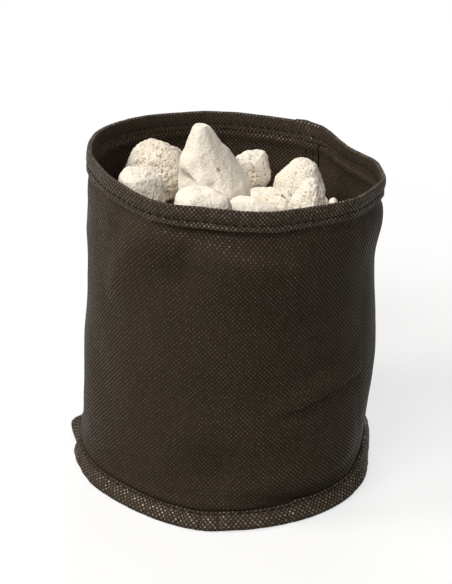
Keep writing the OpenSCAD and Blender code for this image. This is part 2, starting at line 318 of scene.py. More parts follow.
def wall_pt(a, u, off):
    """Point on the wall, out from its inner face by off."""
    z = wall_z(a, u) + uneven_rim(RIM_BOB, a) * ease(u, *BOB_FROM)
    return place(wall_r(a, u) - CLOTH_T + off + slack(a, u), a, z, u)


# Flange of the base seam

# Stretches where the flange curls up from the floor: middle angle, half width, degrees
CURLS = [(172, 9, 31), (-176, 4, -10), (12, 9, 10), (-24, 16, 12), (118, 12, 16)]
# Unevenness of the curl, in degrees, and ripples of the flange, as rows of noise
CURL_SWAY = (3, 24, 8)
FLANGE_RIPPLES = [(0.7, 10, 9), (0.45, 5, 10)]
# Share of the ripples at the flange's root, and how many widths out they grow no more
ROOT_SHARE, RIPPLE_END = 0.25, 1.2
# Short creases across the flange: angle, half width, depth
FLANGE_CREASES = [
    (-92, 1.6, 1.4), (-66.5, 1.8, 0.7), (-99, 2.2, 0.9), (-106, 2, 1.2), (-113, 2.4, 0.9),
    (-121, 2, 1.1), (-131, 2, 0.8), (-140, 2.2, 0.7), (-36, 2, 0.6), (170, 2.5, 0.6),
    (66, 2, 0.5), (130, 2.2, 0.6),
]
# Shares of the flange's width over which they set in
CREASE_FROM = (0.15, 0.5)


def flange_slope(a):
    return slope(a) - np.radians(waves(CURLS, a) + ring_noise(a, CURL_SWAY))


def puff(a, along):
    """How far the flange's layers bulge up from the plain flange."""
    out = np.clip(along / FLANGE_W, 0, RIPPLE_END)
    ripple = ring_noise(a, *FLANGE_RIPPLES) * (ROOT_SHARE + (1 - ROOT_SHARE) * out)
    return ripple - waves(FLANGE_CREASES, a) * ease(out, *CREASE_FROM)


def flange_pt(a, along, off):
    """Point in the flange, along it from the inner fold and up from its middle plane."""
    s = flange_slope(a)
    off = off + puff(a, along)
    r = wall_r(a, 0) - CLOTH_T + along * np.cos(s) + off * np.sin(s)
    z = fold_z(a) - along * np.sin(s) + off * np.cos(s)
    return place(r, a, np.maximum(z, 0), 0 * a)


def root_pt(a, off):
    """Inner fold of the base seam, where a layer turns from the wall into the flange."""
    s = flange_slope(a)
    return place(wall_r(a, 0) - CLOTH_T + off, a, fold_z(a) + off * (1 - np.sin(s)) / np.cos(s), 0 * a)


# Mesh helpers

# Angle from which the edges of a sheet are sharp
SHARP_A = 50


def new_object(name, data):
    made = bpy.data.objects.new(name, data)
    bpy.context.scene.collection.objects.link(made)
    return made


def new_piece(name, points, faces, uv=None, attributes=None, sharp=None):
    """Object from points in millimetres. uv has one pair for each corner of each face."""
    mesh = bpy.data.meshes.new(name)
    mesh.from_pydata((points * MM).tolist(), [], [list(map(int, f)) for f in faces])
    if uv is not None:
        mesh.uv_layers.new(name="cloth").data.foreach_set("uv", np.asarray(uv, np.float32).ravel())
    for key, values in (attributes or {}).items():
        data = mesh.attributes.new(key, "FLOAT", "POINT").data
        data.foreach_set("value", np.asarray(values, np.float32))
    mesh.polygons.foreach_set("use_smooth", np.ones(len(mesh.polygons), bool))
    if sharp is not None:
        mesh.set_sharp_from_angle(angle=np.radians(sharp))
    mesh.update()
    return new_object(name, mesh)


def unit(v):
    return v / np.maximum(np.linalg.norm(v, axis=-1, keepdims=True), 1e-9)


def grid_normals(p, ring=False):
    """Normals of a grid of points, with columns along the first axis and rows along the second."""
    if ring:
        across = np.roll(p, -1, 0) - np.roll(p, 1, 0)
    else:
        across = np.gradient(p, axis=0)
    return unit(np.cross(across, np.gradient(p, axis=1)))


def grid_lengths(p):
    """Length along each row, at the grid's mean spacing, and along each column, in metres."""
    across = np.linalg.norm(np.diff(p, axis=0), axis=-1).mean(1)
    up = np.linalg.norm(np.diff(p, axis=1), axis=-1).mean(0)
    x = np.concatenate([[0], np.cumsum(across)])
    y = np.concatenate([[0], np.cumsum(up)])
    return x * MM, y * MM


def cloth_sheet(name, middle, ring=False, weave=1.0, inside=0.0):
    """Closed sheet of cloth about a grid of points on its middle face. weave spreads its bond points,
    and inside is the share of the painted glint that brightens the points on the cloth's inner face."""
    n, m, _ = middle.shape
    half = grid_normals(middle, ring) * CLOTH_T / 2
    points = np.concatenate([middle + half, middle - half]).reshape(-1, 3)
    points[:, 2] = np.maximum(points[:, 2], 0)
    x, y = grid_lengths(middle)
    turn = np.arange(n)
    if ring:
        x, turn = np.append(x, x[-1] + x[1]), np.append(turn, 0)
    front, back = np.arange(2 * n * m).reshape(2, n, m)[:, turn]
    uv = np.stack(np.meshgrid(x / weave, y / weave, indexing="ij"), -1)
    corners = [np.s_[:-1, :-1], np.s_[1:, :-1], np.s_[1:, 1:], np.s_[:-1, 1:]]
    faces, uvs = [], []
    for side, order in ((front, corners), (back, corners[::-1])):
        faces.append(np.stack([side[at].ravel() for at in order], 1))
        uvs.append(np.stack([uv[at].reshape(-1, 2) for at in order], 1))
    # Narrow faces between the two sides along the free edges
    for at in [np.s_[:, 0], np.s_[::-1, -1]] + ([] if ring else [np.s_[0, ::-1], np.s_[-1, :]]):
        a, b, w = front[at], back[at], uv[at]
        faces.append(np.stack([a[:-1], b[:-1], b[1:], a[1:]], 1))
        uvs.append(np.stack([w[:-1], w[:-1], w[1:], w[1:]], 1))
    inner = {"inside": np.repeat([0.0, inside], n * m)}
    return new_piece(name, points, np.concatenate(faces), np.concatenate(uvs), inner, SHARP_A)


def threads(name, path, normal, radius, sides=8):
    """Short tubes, one for each row of path points, round in section."""
    n, m, _ = path.shape
    ahead = unit(np.gradient(path, axis=1))
    across = unit(np.cross(ahead, normal))
    up = np.cross(across, ahead)
    turn = np.arange(sides) / sides * 2 * np.pi
    ring = np.cos(turn)[:, None] * up[:, :, None] + np.sin(turn)[:, None] * across[:, :, None]
    thick = np.broadcast_to(radius, (n, m))[:, :, None, None]
    points = (path[:, :, None] + ring * thick).reshape(-1, 3)
    points[:, 2] = np.maximum(points[:, 2], 0)
    index = np.arange(n * m * sides).reshape(n, m, sides)
    nxt = np.roll(index, -1, 2)
    quads = np.stack([index[:, :-1], nxt[:, :-1], nxt[:, 1:], index[:, 1:]], -1).reshape(-1, 4)
    run = np.linspace(0, 1, m)[None, :-1, None, None] + np.array([0, 0, 1, 1]) / (m - 1)
    spin = np.arange(sides)[None, None, :, None] / sides + np.array([0, 1, 1, 0]) / sides
    uv = np.stack(np.broadcast_arrays(run, spin), -1)
    uv = np.broadcast_to(uv, (n, m - 1, sides, 4, 2)).reshape(-1, 2)
    caps = [list(c) for c in index[:, 0, ::-1]] + [list(c) for c in index[:, -1]]
    uv = np.concatenate([uv, np.zeros((len(caps) * sides, 2))])
    return new_piece(name, points, [list(q) for q in quads] + caps, uv)


# Cloth

# Degrees between the columns of points on the wall, the base and the strips
WALL_STEP_A, BASE_STEP_A, STRIP_STEP_A = 0.8, 1.0, 0.6
# How far the bend at the wall's foot reaches both ways
BEND = 1.6
# Rows of points: up the wall and out on the base between shares of their size, on the wall's flange
# and bend, and on the base's climb and edge
WALL_ROWS = [(0, 0.1, 14), (0.1, 0.88, 62), (0.88, 1, 17)]
BASE_ROWS = [(0.02, 0.02, 1), (0.1, 1, 16)]
FLANGE_ROWS, BEND_ROWS, CLIMB_ROWS, EDGE_ROWS = 7, 6, 14, 9
# How many climbs the base would take to level out, and where its edge starts on the flange
CLIMB_END, EDGE_FROM = 1.15, 0.6


def make_wall():
    """One panel, rolled round and lapped on itself, its foot turned out into the flange."""
    w = np.linspace(0, 360 + LAP_A, round((360 + LAP_A) / WALL_STEP_A) + 1)[:, None]
    a = SEAM_A + w
    off = lap_rise(w) + CLOTH_T / 2
    along = np.linspace(FLANGE_W, BEND, FLANGE_ROWS)[None]
    flange = flange_pt(a + 0 * along, along + 0 * a, off + 0 * along)
    first = BEND / (top_z(a) - fold_z(a))
    rise = np.unique(np.concatenate([np.linspace(*rows) for rows in WALL_ROWS]))[None]
    wall = wall_pt(a + 0 * rise, first + (1 - first) * rise, off + 0 * rise)
    t = np.linspace(0, 1, BEND_ROWS)[1:-1][None, :, None]
    bend = (1 - t) ** 2 * flange[:, -1:] + 2 * t * (1 - t) * root_pt(a, off) + t ** 2 * wall[:, :1]
    # The inner face takes the full painted glint on its points
    return cloth_sheet("wall_cloth", np.concatenate([flange, bend, wall], 1), inside=1.0)


def make_base():
    """Round base: flat on the floor, climbing to the seam and turned down into the flange."""
    a = np.arange(0, 360, BASE_STEP_A)[:, None]
    r = wall_r(a, 0) - CLOTH_T
    flat = np.concatenate([np.linspace(*rows) for rows in BASE_ROWS])[None] * (r - DISH_W)
    t = np.linspace(0, 1, CLIMB_ROWS)[1:-1][None]
    climb_z = CLOTH_T / 2 + ease(t, 0, CLIMB_END) * (fold_z(a) - LAYER_GAP - CLOTH_T)
    along = np.linspace(EDGE_FROM, FLANGE_W, EDGE_ROWS)[None]
    rows = [
        place(flat, a, CLOTH_T / 2 + 0 * flat, 0 * a),
        place(r - DISH_W * (1 - t), a, climb_z, 0 * a),
        flange_pt(a + 0 * along, along + 0 * a, -LAYER_GAP - CLOTH_T / 2 + 0 * (a + along)),
    ]
    return cloth_sheet("base_cloth", np.concatenate(rows, 1), ring=True)


# Folded strips

# Where each strip's ends overlap, how far, and how much the cut end slants across the strip
RIM_JOIN_A, BASE_JOIN_A = 58.5, 96
JOIN_LAP_A = 5
JOIN_SLANT_A = 6
# How fast the slant fades along the strip, how far the upper end stands out, and over which angles it
# rises to that
SLANT_FADE_A, JOIN_RISE, JOIN_RISE_FROM = 12, CLOTH_T * 1.05, (360 - 2.5, 360 + 0.5)
# Spacing of each strip's bond points against the wall's
RIM_WEAVE, BASE_WEAVE = 0.89, 1.08
# Rows of points on each leg of a strip's section, and round its fold
LEG_ROWS, TURN_ROWS = 16, 11
# Stitches round each strip, how far they draw it in, evenly and at each stitch, and over what width
RIM_STITCHES = round(2 * np.pi * MOUTH_R / STITCH_PITCH)
BASE_STITCHES = round(2 * np.pi * (BASE_R + FLANGE_W / 2) / STITCH_PITCH)
RIM_PULL, BASE_PULL, STITCH_W = (0.35, 0.12), (0.4, 0.15), 1.1
# Padded stretch beyond the stitches: rise and middle, and its width
RIM_PAD, BASE_PAD, PAD_W = (0.45, 6.4), (0.5, 7), 2.2
# How far the free edges flare, and where that differs
FLARE = 0.2
RIM_FLARE_WAVES = [(-85, 45, 0.5)]
# Rows of noise: in the padding, the flare, the run of the free edge, and the fold
RIM_NOISE = [(0.5, 9, 12), (0.3, 9, 13), (0.5, 16, 14), (0.15, 6, 15)]
BASE_NOISE = [(0.9, 8, 16), (0.3, 9, 17), (0.35, 14, 18), (0.12, 6, 19)]
# How far flare and run reach on the rim strip, and how far short of the stitches on the base strip
RIM_FLARE_W, RIM_RUN_W, BASE_EDGE_SHORT = 2.2, 4, 0.3
# Share of the padding, and of the rim strip's flare, that a strip's hidden leg has
RIM_HIDDEN, BASE_HIDDEN, FLARE_HIDDEN = 0.35, 0.3, 0.5
# Share of the height over the rim strip's middle line that is added at its fold
RIM_TOP_SHARE = 0.5
# The base strip's free edge stands up beside a tuck at the lower right: its angle, how far out and up,
# how far down the strip, over which angles it sets in, and how many on it has fallen by two thirds
TUCK_A, TUCK_OUT, TUCK_UP, TUCK_W = -65, 2.3, 1.3, 5
TUCK_FROM, TUCK_FADE = (-0.6, 0.8), 22


def strip_rows(lead, trail, turn):
    """Rows of a strip's section: how far along, which side from 1 to -1, and how far past the turn."""
    phi = np.radians(np.linspace(90, -90, TURN_ROWS))
    leg = np.ones(LEG_ROWS - 1)
    along = np.concatenate([
        np.linspace(lead, turn, LEG_ROWS)[:-1], turn + 0 * phi, np.linspace(turn, trail, LEG_ROWS)[1:],
    ])
    side = np.concatenate([leg, np.sin(phi), -leg])
    past = np.concatenate([0 * leg, np.cos(phi), 0 * leg])
    return along[None], side[None], past[None]


def strip_turn(join_a, along, turn):
    """Angles of a strip that starts at join_a and laps over its own start, and its rise there."""
    w = np.arange(0, 360 + JOIN_LAP_A, STRIP_STEP_A)[:, None]
    near = np.minimum(w, 360 + JOIN_LAP_A - w)
    slant = JOIN_SLANT_A * (1 - along / turn) * np.exp(-near / SLANT_FADE_A)
    return join_a + w - slant, JOIN_RISE * ease(w, *JOIN_RISE_FROM) + 0 * along


def quilted(a, along, row, count, pull, pad, uneven):
    """How far a strip's face stands out: drawn in along its stitches, and padded beyond them."""
    evenly, each = pull
    rise, middle = pad
    drawn_in = (evenly + each * np.cos(np.radians(a) * count)) * bell(along, row, STITCH_W)
    return rise * bell(along, middle, PAD_W) * (1 + uneven) - drawn_in


def on_leg(side, hidden):
    """One on a strip's outer leg, and the share given for its hidden one."""
    return hidden + (1 - hidden) * np.maximum(side, 0)


def rim_strip_pt(a, along, side, past, out):
    """Point on the rim strip, out from its middle line."""
    mid, half = RIM_FOLD
    mid, half = mid + over_lap(a) / 2, half + over_lap(a) / 2
    in_pad, in_flare, in_run, in_fold = (ring_noise(a, rows) for rows in RIM_NOISE)
    face = quilted(a, along, RIM_INSET, RIM_STITCHES, RIM_PULL, RIM_PAD, in_pad)
    flare = ease(along, RIM_FLARE_W, 0) * (FLARE + in_flare + waves(RIM_FLARE_WAVES, a))
    reach = half + out + face * on_leg(side, RIM_HIDDEN) + flare * on_leg(side, FLARE_HIDDEN)
    wander = in_run * ease(along, RIM_RUN_W, 0)
    high = along + wander + past * (half + RIM_TOP_SHARE * out) * (1 + in_fold)
    return wall_pt(a, STRIP_U + (1 - STRIP_U) * high / RIM_STRIP_W, mid + side * reach)


def base_strip_pt(a, along, side, past, out):
    """Point on the base strip, out from its middle line."""
    mid, half = BASE_FOLD
    mid, half = mid + over_lap(a) / 2, half + over_lap(a) / 2
    row = STRIP_INSET + BASE_INSET
    in_pad, in_flare, in_run, in_fold = (ring_noise(a, rows) for rows in BASE_NOISE)
    face = quilted(a, along, row, BASE_STITCHES, BASE_PULL, BASE_PAD, in_pad)
    edge = ease(along, row - BASE_EDGE_SHORT, STRIP_INSET)
    past_tuck = turned(a - TUCK_A)
    tuck = ease(past_tuck, *TUCK_FROM) * np.exp(-np.maximum(past_tuck, 0) / TUCK_FADE)
    climb = tuck * ease(along, TUCK_W, STRIP_INSET) * on_leg(side, 0)
    flare = edge * (FLARE + in_flare)
    reach = half + out + (face + flare) * on_leg(side, BASE_HIDDEN) + TUCK_OUT * climb
    wander = in_run * edge - TUCK_UP * climb
    far = along + wander + past * (half + out) * (1 + in_fold)
    return flange_pt(a, far, mid + side * reach)


def make_strip(name, point, legs, width, way, join_a, weave):
    """A strip folded round an edge. Its two legs start at legs and meet where the width ends."""
    turn = width + LAYER_GAP
    along, side, past = (x[:, ::way] for x in strip_rows(*legs, turn))
    a, out = strip_turn(join_a, along, turn)
    return cloth_sheet(name, point(a, along + 0 * a, side + 0 * a, past + 0 * a, out), weave=weave)


def make_rim_strip():
    return make_strip("rim_strip", rim_strip_pt, (0, 0), RIM_STRIP_W, 1, RIM_JOIN_A, RIM_WEAVE)


def make_base_strip():
    legs = STRIP_INSET, UNDER_INSET
    return make_strip("base_strip", base_strip_pt, legs, FLANGE_W, -1, BASE_JOIN_A, BASE_WEAVE)


# Seam threads

STITCH_POINTS = 9
# Height over the path at which a stitch's upward direction is taken
UP_STEP = 0.5
# Height of a thread's middle line over the cloth's face at mid stitch, and at the needle holes
THREAD_PROUD, THREAD_SUNK = 0.16, -0.5
# How steeply a stitch rises from its holes, the lower the steeper, and how thin the thread is there
ARCH_POWER, THREAD_THIN = 0.45, 0.72
# How much further out the row through the base strip lies on the underside
UNDER_SHIFT = 0.6
# The two rows through the side seam, as shares of the lap
SEAM_ROWS = (0.3, 0.7)


def stitch_shape():
    """Share of a stitch along its length, with its height over the cloth and its radius."""
    t = np.linspace(0, 1, STITCH_POINTS)
    arch = np.sin(np.pi * t) ** ARCH_POWER
    radius = THREAD_D / 2 * (THREAD_THIN + (1 - THREAD_THIN) * arch)
    return t, THREAD_SUNK + (THREAD_PROUD - THREAD_SUNK) * arch, radius


def stitch_rows(name, surface, count):
    """A ring of stitches on each side of a strip. surface gives a point from an angle, a side and a
    height over the strip's middle line."""
    t, height, radius = stitch_shape()
    span = 360 / count * (1 - STITCH_GAP / STITCH_PITCH)
    paths, normals = [], []
    for side in (1, -1):
        shift = 0 if side > 0 else 180 / count
        a = (np.arange(count) * 360 / count + shift)[:, None] + span * t
        over = CLOTH_T / 2 + height + 0 * a
        paths.append(surface(a, side, over))
        normals.append(unit(surface(a, side, over + UP_STEP) - paths[-1]))
    return threads(name, np.concatenate(paths), np.concatenate(normals), radius)


def make_rim_threads():
    def surface(a, side, over):
        return rim_strip_pt(a, RIM_INSET + 0 * a, side + 0 * a, 0 * a, over)

    return stitch_rows("rim_threads", surface, RIM_STITCHES)


def make_base_threads():
    def surface(a, side, over):
        along = STRIP_INSET + BASE_INSET + UNDER_SHIFT * (side < 0) + 0 * a
        return base_strip_pt(a, along, side + 0 * a, 0 * a, over)

    return stitch_rows("base_threads", surface, BASE_STITCHES)


def make_seam_threads():
    """Two rows through the lap of the side seam, on both faces."""
    t, height, radius = stitch_shape()
    run = (BAG_H - SEAM_RISE) * STRIP_U - 2 * STITCH_PITCH
    count = int(run / STITCH_PITCH)
    first = STITCH_PITCH / (BAG_H - SEAM_RISE)
    step = run / count / (BAG_H - SEAM_RISE)
    u = first + step * (np.arange(count)[:, None] + t * (1 - STITCH_GAP / STITCH_PITCH))
    paths, normals = [], []
    for row in SEAM_ROWS:
        for face, way in ((0, -1), (LAP_T + CLOTH_T, 1)):
            a = SEAM_A + row * LAP_A + 0 * u
            paths.append(wall_pt(a, u, face + way * height))
            normals.append(unit(wall_pt(a, u, face + way * (height + UP_STEP)) - paths[-1]))
    return threads("seam_threads", np.concatenate(paths), np.concatenate(normals), radius)


# Pumice

# Fineness of the mesh, number of pits, radius of the largest, grain, lump height, flats, open pores
STONES = {
    "porous_stone": (7, 700, 0.8, 0.34, 1.0, 6, 0.9),
    "left_front_stone": (7, 160, 0.6, 0.36, 0.9, 2, 0.5),
    "tall_stone": (7, 45, 0.5, 0.14, 0.4, 2, 0.1),
    "flat_front_stone": (7, 60, 0.7, 0.20, 0.6, 2, 0.3),
    "small_back_stone": (7, 150, 1.2, 0.28, 0.8, 5, 0.8),
    "round_front_stone": (6, 30, 0.6, 0.18, 0.5, 1, 0.2),
    "pitted_stone": (7, 90, 1.1, 0.24, 0.9, 2, 0.5),
    "right_back_stone": (7, 160, 0.6, 0.28, 1.0, 5, 0.5),
    "right_front_stone": (7, 200, 0.6, 0.36, 1.1, 5, 0.6),
    "pebble": (5, 12, 0.6, 0.14, 0.4, 4, 0.2),
}
# Bulges and dents, by their direction from the stone's middle as seen from the front:
# right, up, towards the viewer, spread in radians, rise
DENTS = {
    "porous_stone": [
        (0.55, 0.85, 0.1, 0.35, -3), (-0.6, 0.5, 0.4, 0.4, 1.5), (0.3, -0.2, 0.9, 0.25, -1.5),
    ],
    "left_front_stone": [
        (0.75, 0.45, 0.5, 0.3, 2.5), (-0.6, 0.8, 0.3, 0.35, 2.5), (0.95, -0.2, 0.3, 0.3, -2),
    ],
    "tall_stone": [
        (-0.95, 0.12, 0.3, 0.42, 5), (-0.8, -0.75, 0.4, 0.26, -6), (-0.12, -0.72, 0.7, 0.16, -2.6),
        (-0.35, 0.8, 0.4, 0.3, 1.5), (-0.6, 0.75, 0.2, 0.34, 1.4), (-0.95, -0.4, 0.3, 0.24, -3.5),
        (0.5, 0.75, 0.2, 0.3, 1.2),
    ],
    "flat_front_stone": [(0.7, 0.5, 0.5, 0.3, 1.2), (0.35, 0.35, 0.85, 0.12, -1.2)],
    "small_back_stone": [
        (-0.9, 0.3, 0.3, 0.35, 2), (0.45, 0.9, 0, 0.3, 1.5), (0.9, -0.2, 0.3, 0.35, 1.5),
        (-0.15, -0.2, 0.97, 0.25, -2), (-0.5, -0.8, 0.3, 0.3, -2),
    ],
    "round_front_stone": [
        (-0.6, 0.8, 0.2, 0.45, 3), (0.95, 0.25, 0.2, 0.4, 4), (0.6, 0.8, 0.2, 0.3, -1),
    ],
    "pitted_stone": [
        (-0.8, 0.6, 0.3, 0.4, 2.5), (0.85, 0.5, 0.2, 0.4, 3), (0.5, 0.3, 0.85, 0.13, -3),
    ],
    "right_back_stone": [(-0.85, 0.1, 0.4, 0.35, 2), (0.7, 0.5, 0.4, 0.3, 1)],
    "right_front_stone": [
        (-0.75, 0.35, 0.5, 0.4, 2.5), (0.8, 0.4, 0.3, 0.4, 2.5), (0, 0.9, 0.4, 0.25, 1),
    ],
}
# Fine cracks: the same directions for both ends, then the width
CRACKS = {
    "tall_stone": [
        ((-0.35, 0.25, 0.9), (-0.5, -0.05, 0.85), 0.5), ((0.15, -0.1, 0.98), (0.22, -0.2, 0.95), 0.7),
    ],
    "right_back_stone": [((-0.7, -0.05, 0.7), (-0.1, 0.25, 0.95), 0.5)],
    "pitted_stone": [
        ((0.05, 0.4, 0.9), (0.4, 0.6, 0.7), 0.6), ((-0.4, 0.5, 0.8), (-0.2, 0.3, 0.9), 0.5),
        ((0.48, 0.32, 0.8), (0.55, 0.2, 0.8), 1.5), ((0.2, 0.5, 0.85), (0.24, 0.5, 0.85), 1.2),
    ],
    "flat_front_stone": [
        ((0.15, 0.25, 0.95), (0.45, 0.3, 0.8), 0.8), ((0.1, 0.05, 0.99), (0.3, 0.12, 0.95), 0.7),
    ],
    "small_back_stone": [
        ((-0.4, -0.1, 0.9), (0.3, -0.1, 0.95), 0.7), ((-0.2, -0.45, 0.88), (0.2, -0.4, 0.9), 0.5),
    ],
}
# The bed: looks as in STONES, of the top layer and of those below it
BED_LAYERS = 5
BED_TOP = (5, 24, 0.9, 0.2, 0.8, 4, 0.4)
BED_BELOW = (4, 8, 0.9, 0.2, 0.8, 4, 0.4)
# Tan added to how deep every point lies, which tans the whole stone
BED_TAN = 0.35
STONE_TAN = {"porous_stone": 0.26}
# Right, up and towards the viewer, for someone who looks down at the bag from the front
SEEN_FROM = np.array([[1, 0, 0], [0, 0.447, 0.894], [0, -0.894, 0.447]])
# Flats: spread of their directions, shares of the stone's reach at which they cut, and least cosine
FLAT_SPREAD, FLAT_CUT, FLAT_LEAST = (1, 1, 0.6), (0.84, 0.95), 0.05
# How far the edges between a stone's flats are rounded
EDGE_ROUND = 1.0
# Relief, as rows of noise: lumps and how far they lie back, grain, open pores with the level at which
# they open and their depth. Then the span from which each stone's noise is picked
LUMPS, LUMPS_BACK = [(1, 11, 0), (0.6, 5, 0)], 0.25
GRAIN = [(1, 2.6, 0), (0.8, 1.3, 0), (0.5, 0.8, 0)]
PORES, PORES_FROM, PORE_DEPTH = [(1, 1.7, 31), (0.7, 0.9, 0)], 0.3, 0.7
NOISE_SPAN = 90
# Pits: depth against radius, range of sizes, how much rarer the large ones are, range of squash
PIT_DEPTH, PIT_SIZES, PIT_POWER, PIT_SQUASH = 0.75, (0.35, 1), 1.6, (0.75, 1.3)
# Cracks: depth against width, number of dents, how far they lie out of line, range of widths
CRACK_DEPTH, CRACK_STEPS, CRACK_STRAY, CRACK_WIDTHS = 0.6, 14, 0.25, (0.6, 1.3)
# Most that a stone's relief stands out from its solid
MOST_PROUD = 0.2
# Tan of the hollows: depth against the largest pit's radius at which it is full, shares that grain
# and dips between lumps add, and where such dips begin
TAN_DEPTH, GRAIN_TAN, DIP_TAN, DIP_FROM = 0.7, 0.5, 0.2, 0.6
_spheres = {}


def sphere(level):
    """Directions, triangles and neighbour pairs of an even mesh on the unit sphere."""
    if level not in _spheres:
        bm = bmesh.new()
        bmesh.ops.create_icosphere(bm, subdivisions=level, radius=1)
        ways = unit(np.array([v.co for v in bm.verts]))
        tris = np.array([[v.index for v in f.verts] for f in bm.faces])
        pairs = np.array([[v.index for v in e.verts] for e in bm.edges])
        bm.free()
        _spheres[level] = ways, tris, pairs
    return _spheres[level]


def evened(values, pairs, rounds):
    """Values averaged with their neighbours, a number of times."""
    count = np.bincount(pairs.ravel(), minlength=len(values))
    for _ in range(rounds):
        total = np.bincount(pairs[:, 0], values[pairs[:, 1]], len(values))
        total += np.bincount(pairs[:, 1], values[pairs[:, 0]], len(values))
        values = 0.5 * values + 0.5 * total / count
    return values


def point_normals(points, tris):
    face = np.cross(points[tris[:, 1]] - points[tris[:, 0]], points[tris[:, 2]] - points[tris[:, 0]])
    total = np.zeros_like(points)
    for k in range(3):
        for axis in range(3):
            total[:, axis] += np.bincount(tris[:, k], face[:, axis], len(points))
    return unit(total)


def islands(node):
    """Points and triangles of each separate solid in a node, in millimetres."""
    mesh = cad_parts[node].data
    mesh.calc_loop_triangles()
    co = np.array([v.co for v in mesh.vertices]) / MM
    tris = np.array([t.vertices for t in mesh.loop_triangles])
    _, same = np.unique(np.round(co, 3), axis=0, return_inverse=True)
    group = np.arange(same.max() + 1)
    linked = same.ravel()[tris]
    while True:
        low = group[linked].min(1)
        before = group.copy()
        for k in range(3):
            np.minimum.at(group, linked[:, k], low)
        if (group == before).all():
            break
    owner = group[linked[:, 0]]
    return [(co, tris[owner == g]) for g in np.unique(owner)]


def rock(co, tris, seed, level, pits, pit_r, grain, lumps, flats, pores, dents=(), cracks=()):
    """One weathered stone inside a plain solid: points, triangles and how deep each point lies."""
    used = co[np.unique(tris)]
    middle = (used.min(0) + used.max(0)) / 2
    tree = BVHTree.FromPolygons([Vector(p) for p in co], [list(map(int, t)) for t in tris])
    ways, mesh, pairs = sphere(level)
    centre = Vector(middle)
    reach = np.array([(tree.ray_cast(centre, Vector(v))[3] or 0) for v in ways])
    rng = np.random.default_rng(seed)
    for _ in range(flats):
        lies = ways @ unit(rng.normal(size=3) * FLAT_SPREAD)
        cut = (lies * reach).max() * rng.uniform(*FLAT_CUT)
        within = np.minimum(reach, cut / np.maximum(lies, FLAT_LEAST))
        reach = np.where(lies > FLAT_LEAST, within, reach)
    for right, up, near, spread, rise in dents:
        turn = np.arccos(np.clip(ways @ unit(np.array([right, up, near]) @ SEEN_FROM), -1, 1))
        reach = reach + rise * bell(turn, 0, spread)
    reach = evened(reach, pairs, round((EDGE_ROUND / reach.mean()) ** 2 * len(ways) / 4))
    # The stone keeps to the plan of its solid, so that it lifts clear of its neighbours
    points = np.clip(middle + ways * reach[:, None], used.min(0), used.max(0))
    normal = point_normals(points, mesh)
    p = points - middle + rng.uniform(0, NOISE_SPAN, 3)
    swell = lumps * (noises(p, LUMPS) - LUMPS_BACK)
    rough = grain * noises(p, GRAIN)
    depth = pores * np.clip(noises(p, PORES) - PORES_FROM, 0, PORE_DEPTH)
    for at in points[rng.integers(0, len(points), pits)]:
        r = pit_r * rng.uniform(*PIT_SIZES) ** PIT_POWER
        d = np.linalg.norm((points - at) * rng.uniform(*PIT_SQUASH, 3), axis=1) / r
        depth = np.maximum(depth, PIT_DEPTH * r * np.maximum(0, 1 - d * d))
    for start, end, width in cracks:
        for share in np.linspace(0, 1, CRACK_STEPS):
            way = unit(((1 - share) * np.array(start) + share * np.array(end)) @ SEEN_FROM)
            at = points[(ways @ way).argmax()] + rng.normal(size=3) * CRACK_STRAY
            d = np.linalg.norm(points - at, axis=1) / (width * rng.uniform(*CRACK_WIDTHS))
            depth = np.maximum(depth, CRACK_DEPTH * width * np.maximum(0, 1 - d * d))
    out = np.minimum(swell + rough, MOST_PROUD) - depth
    sunk = GRAIN_TAN * np.clip(-rough, 0, 1) + DIP_TAN * np.clip(-swell - DIP_FROM * lumps, 0, 1)
    hollow = np.clip(depth / (TAN_DEPTH * pit_r) + sunk, 0, 1)
    return points + normal * out[:, None], mesh, hollow


def make_stones(name, node, added_tan, *looks):
    """Every stone of one node, as one piece. Its third argument is added to how deep its points lie.
    """
    seed = sum(map(ord, node))
    points, faces, hollows, count = [], [], [], 0
    for k, (co, tris) in enumerate(islands(node)):
        p, f, h = rock(co, tris, seed + 1000 * k, *looks)
        points.append(p)
        faces.append(f + count)
        hollows.append(h)
        count += len(p)
    deep = {"hollow": np.concatenate(hollows) + added_tan}
    return new_piece(name, np.concatenate(points), np.concatenate(faces), attributes=deep)


# Materials

class Tree:
    """Short way to write a material's nodes."""

    def __init__(self, name):
        self.material = bpy.data.materials.new(name)
        self.material.use_nodes = True
        self.nodes = self.material.node_tree.nodes
        self.links = self.material.node_tree.links
        self.shader = self.nodes["Principled BSDF"]

    def add(self, kind, out=0, inputs=None, **settings):
        node = self.nodes.new("ShaderNode" + kind)
        for key, value in settings.items():
            setattr(node, key, value)
        for key, value in (inputs or {}).items():
            self.set(node.inputs[key], value)
        return node.outputs[out]

    def set(self, socket, value):
        if isinstance(value, bpy.types.NodeSocket):
            self.links.new(value, socket)
        else:
            socket.default_value = value

    def math(self, how, *values):
        return self.add("Math", operation=how, inputs=dict(enumerate(values)))

    def vector(self, how, *values, out=0):
        return self.add("VectorMath", out=out, operation=how, inputs=dict(enumerate(values)))

    def between(self, value, low, high, to_low=0.0, to_high=1.0):
        return self.add("MapRange", interpolation_type="SMOOTHSTEP", inputs={
            "Value": value, "From Min": low, "From Max": high, "To Min": to_low, "To Max": to_high,
        })

    def mix(self, share, first, second):
        node = self.nodes.new("ShaderNodeMix")
        node.data_type = "RGBA"
        self.set(node.inputs["Factor"], share)
        self.set(node.inputs["A"], first)
        self.set(node.inputs["B"], second)
        return node.outputs["Result"]

    def texture(self, scale, detail, where=None, kind="Noise", out=0):
        where = where or self.add("TexCoord", out="Object")
        inputs = {"Vector": where, "Scale": scale, "Detail": detail}
        return self.add("Tex" + kind, out=out, inputs=inputs)

    def bump(self, height, distance, strength=1.0):
        inputs = {"Height": height, "Distance": distance, "Strength": strength}
        return self.add("Bump", inputs=inputs)

    def finish(self, **values):
        for key, value in values.items():
            self.set(self.shader.inputs[key.replace("_", " ")], value)
        return self.material


